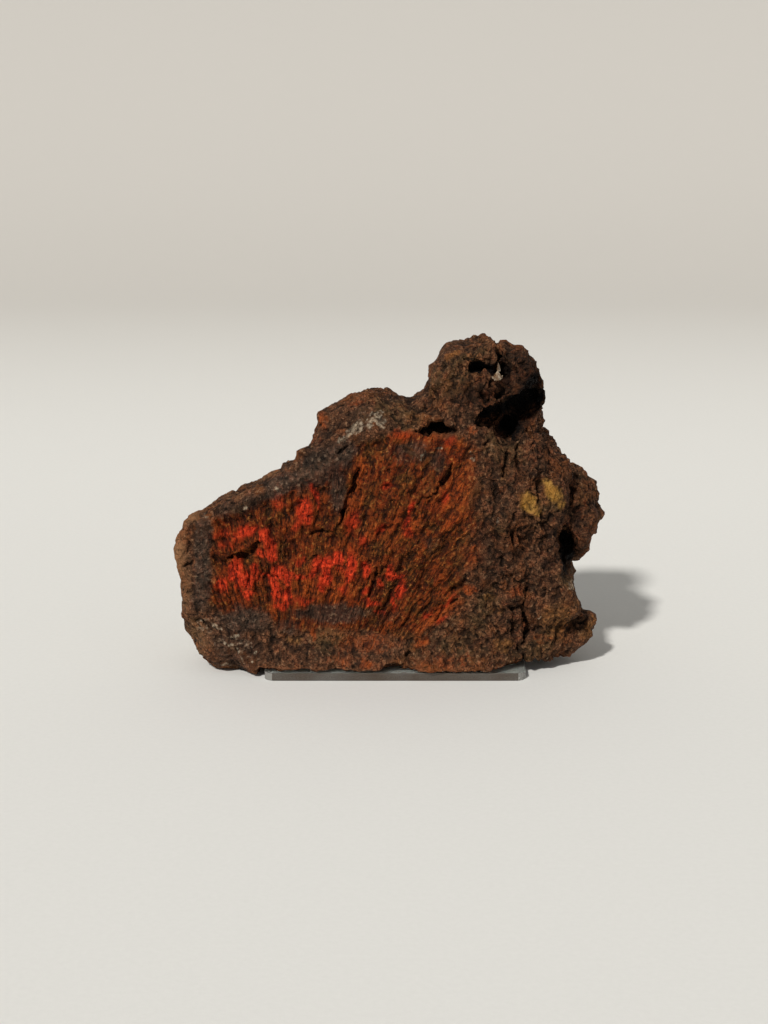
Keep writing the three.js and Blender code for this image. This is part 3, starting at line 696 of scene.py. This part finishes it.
def shaped(rock):
    """Adds the fine relief, and keeps it clear of the plate."""
    skin = Skin(rock.data)
    near_crack = cracks_filled(skin)
    skin.points = skin.relaxed(skin.points, ROCK["relax"])
    p = skin.points.copy()
    normal = unit(skin.relaxed(skin.normals(), 6))
    skin.points = p + normal * relief(p, normal, near_crack)[:, None]
    x, y, z = p.T
    skin.points[:, 1] += patches(x, z, SET_BACK) * smoothstep(y, 4, -4)
    skin.points[:, 1] -= patches(x, z, BROUGHT_FORWARD) * smoothstep(y, -5, -12)
    skin.points = skin.relaxed(skin.points, 1, 0.2)
    on_plate = skin.points[:, 0] > SEAT["plate_left"]
    lowest = np.where(on_plate, SEAT["plate_top"], 0.0) + SEAT["clear"]
    skin.points[:, 2] = np.maximum(skin.points[:, 2], lowest)
    skin.store()


def thinned(rock):
    """Fewer faces, with the smallest ones kept where the rock faces the front."""
    for front_goes in (False, True):
        mesh = rock.data
        skin = Skin(mesh)
        normal = skin.relaxed(skin.normals(), 10)
        front = normal @ FRONT["towards"] > FRONT["least"]
        corners = np.empty(len(mesh.loops), np.int32)
        mesh.loops.foreach_get("vertex_index", corners)
        triangles = len(mesh.loops) - 2 * len(mesh.polygons)
        in_front = int(round(triangles * front[corners].mean()))
        if front_goes:
            wanted = ROCK["front_faces"] + triangles - in_front
        else:
            wanted = ROCK["other_faces"] + in_front
        group = rock.vertex_groups.new(name="thin")
        group.add(np.flatnonzero(front == front_goes).tolist(), 1.0, "REPLACE")
        thin = rock.modifiers.new("thin", "DECIMATE")
        thin.vertex_group = group.name
        thin.ratio = min(1.0, wanted / triangles)
        apply_modifiers(rock)
        rock.vertex_groups.clear()


def painted(rock):
    """Masks on the points for the material: minerals, and hollows for painted shade and highlights.
    """
    skin = Skin(rock.data)
    p = skin.points
    broad = unit(skin.relaxed(skin.normals(), 8))
    x, z = (p[:, [0, 2]] + 1.1 * drift(p, 3.4, (71, 73)) + 0.5 * drift(p, 1.3, (72, 74))).T
    y = p[:, 1]
    front = smoothstep(-broad[:, 1], 0.0, 0.4) * smoothstep(y, -1, -8)
    # Concave places, where the material paints shade, and raised ones, where it paints highlights;
    # more so on the knob.
    hollow = 3.0 * ((skin.relaxed(p, 4) - p) * broad).sum(axis=1)
    hollow += 1.1 * ((skin.relaxed(p, 30) - p) * broad).sum(axis=1)
    hollow *= 1 + 0.9 * on_knob(p)
    masks = {"vein": vein_share(p, broad), "hollow": np.clip(0.5 + hollow, 0, 1)}
    for name, marks in MINERALS.items():
        masks[name] = patches(x, z, marks) * front
    masks["warm"] = patches(x, z, WARM_RIM)
    # Places painted darker, partly painted shade, and the near-black painted shadows.
    masks["dim"] = patches(x, z, DIMMED_AND_SHADED) * smoothstep(y, 6, -2)
    masks["dark"] = patches(x, z, PAINTED_SHADOWS, y) * smoothstep(y, 9, 5)
    for name, values in masks.items():
        layer = rock.data.attributes.new(name, "FLOAT", "POINT")
        layer.data.foreach_set("value", values.astype(np.float32))
    rock.data.shade_smooth()


# ---------------------------------------------------------------- materials

class Paint:
    """A material's node graph, written as calls that return sockets."""

    def __init__(self, name):
        self.material = bpy.data.materials.new(name)
        self.material.use_nodes = True
        self.tree = self.material.node_tree
        self.shader = self.tree.nodes["Principled BSDF"]
        self.at = self.node("ShaderNodeTexCoord").outputs["Object"]

    def node(self, kind, settings=(), **inputs):
        """A new node. Its inputs are given by name, or as i and their number."""
        node = self.tree.nodes.new(kind)
        for key, value in dict(settings).items():
            setattr(node, key, value)
        for key, value in inputs.items():
            numbered = key[0] == "i" and key[1:].isdigit()
            self.put(node.inputs[int(key[1:]) if numbered else key], value)
        return node

    def put(self, socket, value):
        if isinstance(value, bpy.types.NodeSocket):
            self.tree.links.new(value, socket)
        else:
            socket.default_value = value

    def set(self, **values):
        for key, value in values.items():
            self.put(self.shader.inputs[key.replace("_", " ")], value)

    def math(self, operation, a, b=0.0):
        return self.node("ShaderNodeMath", {"operation": operation}, i0=a, i1=b).outputs[0]

    def plus(self, a, b):
        return self.math("ADD", a, b)

    def minus(self, a, b):
        return self.math("SUBTRACT", a, b)

    def times(self, a, b):
        return self.math("MULTIPLY", a, b)

    def ramp(self, value, low, high, to_low=0.0, to_high=1.0):
        settings = {"interpolation_type": "SMOOTHSTEP", "clamp": True}
        node = self.node("ShaderNodeMapRange", settings, i0=value, i1=low, i2=high,
                         i3=to_low, i4=to_high)
        return node.outputs[0]

    def place(self, axis):
        """How far along X, Y or Z, in metres."""
        return self.node("ShaderNodeSeparateXYZ", Vector=self.at).outputs[axis]

    def mask(self, name):
        return self.node("ShaderNodeAttribute", {"attribute_name": name}).outputs["Fac"]

    def noise(self, size, detail=4.0, rough=0.55, at=None, warp=0.0):
        """Noise from 0 to 1 with swells of the given size in millimetres."""
        node = self.node("ShaderNodeTexNoise", Vector=at or self.at, Scale=1 / (size * MM),
                         Detail=detail, Roughness=rough, Distortion=warp)
        return node.outputs["Fac"]

    def cells(self, size, feature="F1", at=None):
        node = self.node("ShaderNodeTexVoronoi", {"feature": feature},
                         Vector=at or self.at, Scale=1 / (size * MM))
        return node.outputs["Distance"]

    def crumpled(self, at, size, reach):
        """Coordinates pushed about by noise, so that cells made on them look broken."""
        push = self.node("ShaderNodeTexNoise", Vector=at, Scale=1 / (size * MM), Detail=3.0)
        node = self.node("ShaderNodeVectorMath", {"operation": "MULTIPLY_ADD"},
                         i0=push.outputs["Color"], i1=(reach * MM,) * 3, i2=at)
        return node.outputs["Vector"]

    def blend(self, share, a, b, kind="MIX"):
        settings = {"data_type": "RGBA", "blend_type": kind}
        return self.node("ShaderNodeMix", settings, i0=share, i6=a, i7=b).outputs[2]

    def pair(self, share, name):
        """From the dark to the light colour of this name."""
        return self.blend(share, colour(name + " dark"), colour(name + " light"))

    def layer(self, base, name, value, low, high, most):
        """Up to the given share of a colour over the base, as the value nears high."""
        return self.blend(self.ramp(value, low, high, 0.0, most), base, colour(name))

    def bump(self, height, distance, strength=1.0, under=None):
        node = self.node("ShaderNodeBump", Height=height, Distance=distance * MM,
                         Strength=strength)
        if under is not None:
            self.put(node.inputs["Normal"], under)
        return node.outputs["Normal"]


def fan_coordinates(paint):
    """The fibres' own coordinates, in fibres across and lengths along, for the noises."""
    root_x, root_z = FIBRES["root"]
    x = paint.minus(paint.place("X"), root_x * MM)
    z = paint.minus(paint.place("Z"), root_z * MM)
    far = paint.math("SQRT", paint.plus(paint.times(x, x), paint.times(z, z)))
    across = paint.times(paint.math("ARCTAN2", z, x), FIBRES["middle"] * MM)
    along = paint.times(far, FAN_STRETCH["along"])
    deep = paint.times(paint.place("Y"), FAN_STRETCH["deep"])
    return paint.node("ShaderNodeCombineXYZ", X=across, Y=deep, Z=along).outputs["Vector"]


def rock_material():
    paint = Paint("rusty_rock")
    fan = fan_coordinates(paint)
    vein, hollow = paint.mask("vein"), paint.mask("hollow")
    broad = paint.noise(9.0, 5.0, 0.6)
    mottle = paint.noise(2.6, 6.0, 0.68)
    fine = paint.noise(0.9, 2.0, 0.6)
    thread = paint.noise(0.65, 5.0, 0.68, fan, 0.3)
    strand = paint.noise(2.2, 5.0, 0.64, fan, 0.6)

    spots = paint.crumpled(paint.at, 1.6, 2.2)
    tufts = paint.crumpled(fan, 1.6, 1.8)
    crumb, crumb_gap = paint.cells(1.25, at=spots), paint.cells(1.25, "DISTANCE_TO_EDGE", spots)
    tuft, tuft_gap = paint.cells(1.0, at=tufts), paint.cells(1.0, "DISTANCE_TO_EDGE", tufts)
    broken = paint.ramp(mottle, 0.42, 0.58)

    matrix = paint.pair(paint.ramp(mottle, 0.36, 0.64), "matrix")
    matrix = paint.layer(matrix, "rust", broad, 0.48, 0.64, 0.55)
    matrix = paint.layer(matrix, "olive", paint.noise(13.0, 3.0, 0.5), 0.52, 0.66, 0.4)
    matrix = paint.layer(matrix, "matrix grain", fine, 0.54, 0.72, 0.5)
    # Painted shade in the crevices between the crumbs.
    crevice = paint.times(paint.ramp(crumb_gap, 0.13, 0.02, 0.0, 0.85), broken)
    matrix = paint.blend(crevice, matrix, colour("crevice"))
    matrix = paint.layer(matrix, "matrix shade", fine, 0.46, 0.3, 0.5)
    matrix = paint.blend(paint.times(paint.mask("warm"), 0.8), matrix, colour("rim"))

    ground = paint.pair(paint.ramp(strand, 0.36, 0.64), "fibre")
    ground = paint.layer(ground, "moss", paint.noise(5.0, 4.0, 0.6), 0.46, 0.6, 0.65)
    ground = paint.layer(ground, "umber", mottle, 0.5, 0.66, 0.5)
    ground = paint.layer(ground, "thread", thread, 0.52, 0.7, 0.52)
    ground = paint.layer(ground, "ember", broad, 0.46, 0.62, 0.4)
    ground = paint.layer(ground, "fibre grain", fine, 0.54, 0.72, 0.5)
    ground = paint.layer(ground, "fibre shade", fine, 0.46, 0.3, 0.5)

    def ragged(name, low, high, wild=0.5):
        """A mask with an edge frayed along the fibres and broken by grains."""
        frayed = paint.mask(name)
        for wave, share in ((thread, wild), (mottle, 1.6 * wild), (fine, 0.6 * wild)):
            frayed = paint.plus(frayed, paint.times(paint.minus(wave, 0.5), share))
        return paint.ramp(frayed, low, high)

    def overlay(tint, most, name, *edge):
        """Up to the given share of a tint over the base, where the mask has it."""
        return paint.blend(paint.times(ragged(name, *edge), most), base, tint)

    base = paint.blend(vein, matrix, ground)
    grey = paint.pair(paint.ramp(mottle, 0.38, 0.64), "grey")
    grey = paint.layer(grey, "grey grain", fine, 0.52, 0.74, 0.6)
    base = overlay(grey, 0.8, "grey", 0.25, 0.8)
    base = overlay(paint.pair(paint.ramp(thread, 0.35, 0.7), "orange"), 0.72, "orange", 0.2, 0.85)
    base = overlay(paint.pair(paint.ramp(fine, 0.35, 0.7), "amber"), 0.75, "amber", 0.25, 0.9)
    # Places painted darker: painted shade under and beside the knob.
    base = paint.blend(paint.times(paint.mask("dim"), 0.7), base, colour("dim"))
    base = overlay(colour("stain"), 0.8, "red", -0.05, 0.7, 0.45)
    red = paint.pair(paint.ramp(fine, 0.34, 0.68), "red")
    base = paint.blend(ragged("red", 0.25, 1.15, 0.6), base, red)
    pale = paint.pair(paint.ramp(fine, 0.4, 0.66), "pale")
    base = overlay(pale, 0.85, "pale", 0.34, 0.72, 0.9)
    ochre = paint.pair(paint.ramp(mottle, 0.3, 0.7), "ochre")
    base = overlay(ochre, 0.9, "ochre", 0.0, 0.95, 0.3)

    # Painted shade in the gaps between the fibres' tufts, weaker on the red.
    gap = paint.times(paint.ramp(tuft_gap, 0.14, 0.02, 0.0, 0.75), paint.times(broken, vein))
    gap = paint.times(gap, paint.ramp(paint.mask("red"), 0.2, 0.8, 1.0, 0.45))
    base = paint.blend(gap, base, colour("gap"))
    # Painted shade in the hollows, and a painted highlight on the raised places.
    base = paint.layer(base, "hollow", hollow, 0.58, 1.0, 0.66)
    painted_highlight = paint.ramp(hollow, 0.44, 0.12, 0.0, 0.3)
    lit = paint.blend(1.0, base, colour("peak"), "MULTIPLY")
    base = paint.blend(painted_highlight, base, lit, "SCREEN")
    # The painted shadows, near black.
    base = overlay(colour("shadow black"), 0.97, "dark", 0.05, 0.85, 0.3)

    glint = paint.ramp(paint.cells(0.9), 0.13, 0.09)
    glint = paint.times(glint, paint.ramp(broad, 0.45, 0.6, 0.1, 0.4))
    rough = paint.minus(paint.ramp(paint.noise(0.35, 4.0, 0.7), 0.3, 0.7, 0.7, 0.97), glint)
    bare = paint.minus(1.0, vein)
    normal = paint.bump(paint.times(thread, vein), 0.4, 0.8)
    normal = paint.bump(paint.times(tuft, paint.times(vein, -1.0)), 0.6, 1.0, normal)
    normal = paint.bump(paint.times(crumb, paint.times(bare, -1.0)), 0.7, 1.0, normal)
    normal = paint.bump(paint.noise(0.9, 2.0, 0.5), 0.8, 1.0, normal)
    paint.set(Base_Color=base, Roughness=rough, Specular_IOR_Level=0.14, Normal=normal)
    return paint.material


def crystal_material():
    paint = Paint("milky_crystal")
    cloud = paint.noise(1.2, 4.0)
    low, high = (level * MM for level in CRYSTAL_FORM["darker"])
    tint = paint.ramp(cloud, 0.4, 0.6)
    tint = paint.blend(tint, colour("crystal light"), colour("crystal dark"))
    tint = paint.layer(tint, "crystal top", paint.place("Z"), low, high, 0.8)
    rough = paint.ramp(paint.noise(0.4, 3.0), 0.3, 0.7, 0.12, 0.34)
    paint.set(Base_Color=tint, Roughness=rough, Transmission_Weight=0.35)
    paint.set(IOR=REFRACTION["crystal"], Normal=paint.bump(cloud, 0.05, 0.5))
    return paint.material


def acrylic_material(name, least_rough, clear):
    paint = Paint(name)
    haze = paint.noise(14.0, 4.0)
    tone = paint.layer(colour(name), "haze", haze, 0.35, 0.65, 0.3)
    rough = paint.ramp(haze, 0.3, 0.75, least_rough, least_rough + 0.05)
    paint.set(Base_Color=tone, Roughness=rough, Transmission_Weight=clear)
    paint.set(IOR=REFRACTION["acrylic"], Normal=paint.bump(haze, 0.02, 0.3))
    return paint.material


def floor_material():
    paint = Paint("pale_floor")
    weave = paint.noise(1.2, 3.0)
    near, far = (distance * MM for distance in FLOOR_FADE)
    tint = paint.layer(paint.pair(weave, "floor"), "floor far", paint.place("Y"), near, far, 1.0)
    paint.set(Base_Color=tint, Roughness=0.95, Specular_IOR_Level=0.1)
    paint.set(Normal=paint.bump(weave, 0.1, 0.3))
    return paint.material


# ---------------------------------------------------------------- the pieces

def make_rock():
    rock = rock_copy()
    remeshed(rock)
    shaped(rock)
    thinned(rock)
    painted(rock)
    rock.data.materials.append(rock_material())
    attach(rock, "root")
    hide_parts("cinnabar_rock")


def make_crystals():
    """Small pointed crystals in the corner of the knob's hollow."""
    rings, sides = CRYSTAL_FORM["rings"], CRYSTAL_FORM["sides"]
    points, faces = [], []
    for foot, tip, wide, turn in CRYSTALS:
        foot, axis = Vector(foot), Vector(tip) - Vector(foot)
        side = axis.orthogonal().normalized()
        other = axis.normalized().cross(side)
        start = len(points)
        for along, share in rings:
            for k in range(sides):
                a = math.radians(360 / sides * k + turn)
                r = wide / 2 * share * CRYSTAL_FORM["uneven"][k % 2]
                at = foot + along * axis + r * (math.cos(a) * side + math.sin(a) * other)
                points.append(at * MM)
        points += [(foot + axis) * MM, (foot - CRYSTAL_FORM["sunk"] * axis) * MM]
        top, bottom = len(points) - 2, len(points) - 1
        last = start + (len(rings) - 1) * sides
        for k in range(sides):
            n = (k + 1) % sides
            faces.append((bottom, start + n, start + k))
            for ring in range(start, last, sides):
                faces.append((ring + k, ring + n, ring + sides + n, ring + sides + k))
            faces.append((last + k, last + n, top))
    mesh = bpy.data.meshes.new("crystal_points")
    mesh.from_pydata(points, [], faces)
    crystals = added("crystal_points", mesh)
    crystals.data.materials.append(crystal_material())
    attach(crystals, "root")
    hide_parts("hollow_crystals")


def make_plate():
    """The clear plate, with the fine polished chamfers of cut acrylic."""
    plate = added("clear_plate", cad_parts["display_plate"].data.copy())
    bevel = plate.modifiers.new("chamfer", "BEVEL")
    bevel.width = PLATE["chamfer"] * MM
    bevel.segments = 2
    bevel.limit_method = "ANGLE"
    bevel.angle_limit = math.radians(PLATE["sharp"])
    apply_modifiers(plate)
    plate.data.materials.clear()
    for name, look in ACRYLIC.items():
        plate.data.materials.append(acrylic_material(name, *look))
    flat, cut, side = range(len(ACRYLIC))
    for face in plate.data.polygons:
        if max(abs(v) for v in face.normal) < PLATE["level"]:
            face.material_index = cut
        else:
            # The sides take the dark brown tint of painted shade and reflection.
            face.material_index = side if abs(face.normal.z) < PLATE["upright"] else flat
    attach(plate, "root")
    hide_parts("display_plate")


# ---------------------------------------------------------------- the scene

def make_stage():
    """A pale floor that sweeps up into the wall behind."""
    front, back, reach = STAGE["front"], STAGE["back"], STAGE["bend"]
    half, under = STAGE["wide"] / 2, STAGE["under"]
    bend = [math.radians(a) for a in STAGE_BEND]
    profile = [(-front, 0.0), (-front / 4, 0.0), (0.0, 0.0)]
    profile += [(back + reach * math.sin(a), reach * (1 - math.cos(a))) for a in bend]
    profile += [(back + reach, STAGE["high"])]
    points = [(x * MM, y * MM, (z - under) * MM) for y, z in profile for x in (-half, half)]
    faces = [(i, i + 1, i + 3, i + 2) for i in range(0, len(points) - 2, 2)]
    mesh = bpy.data.meshes.new("floor")
    mesh.from_pydata(points, [], faces)
    mesh.shade_smooth()
    floor = added("floor", mesh)
    floor.data.materials.append(floor_material())


def make_lights():
    """A soft key light from the upper left in front, and pale light from all round."""
    world = bpy.data.worlds.new("studio")
    world.use_nodes = True
    background = world.node_tree.nodes["Background"]
    background.inputs["Color"].default_value = SKY["tint"]
    background.inputs["Strength"].default_value = SKY["strength"]
    bpy.context.scene.world = world
    light = bpy.data.lights.new("key", "SUN")
    light.angle = math.radians(KEY_LIGHT["spread"])
    light.energy = KEY_LIGHT["strength"]
    light.color = KEY_LIGHT["tint"]
    lamp = added("key", light)
    lamp.rotation_euler = Vector(KEY_LIGHT["towards"]).to_track_quat("Z", "Y").to_euler()


def make_camera():
    data = bpy.data.cameras.new("camera")
    data.lens = CAMERA["lens"]
    data.sensor_fit = "VERTICAL"
    data.sensor_height = CAMERA["sensor"]
    camera = added("camera", data)
    camera.location = Vector(CAMERA["at"]) * MM
    camera.rotation_euler = (math.radians(90 - CAMERA["down"]), 0, 0)
    bpy.context.scene.camera = camera


make_camera()
make_rock()
make_crystals()
make_plate()
make_stage()
make_lights()
bpy.context.scene.view_settings.view_transform = "Standard"
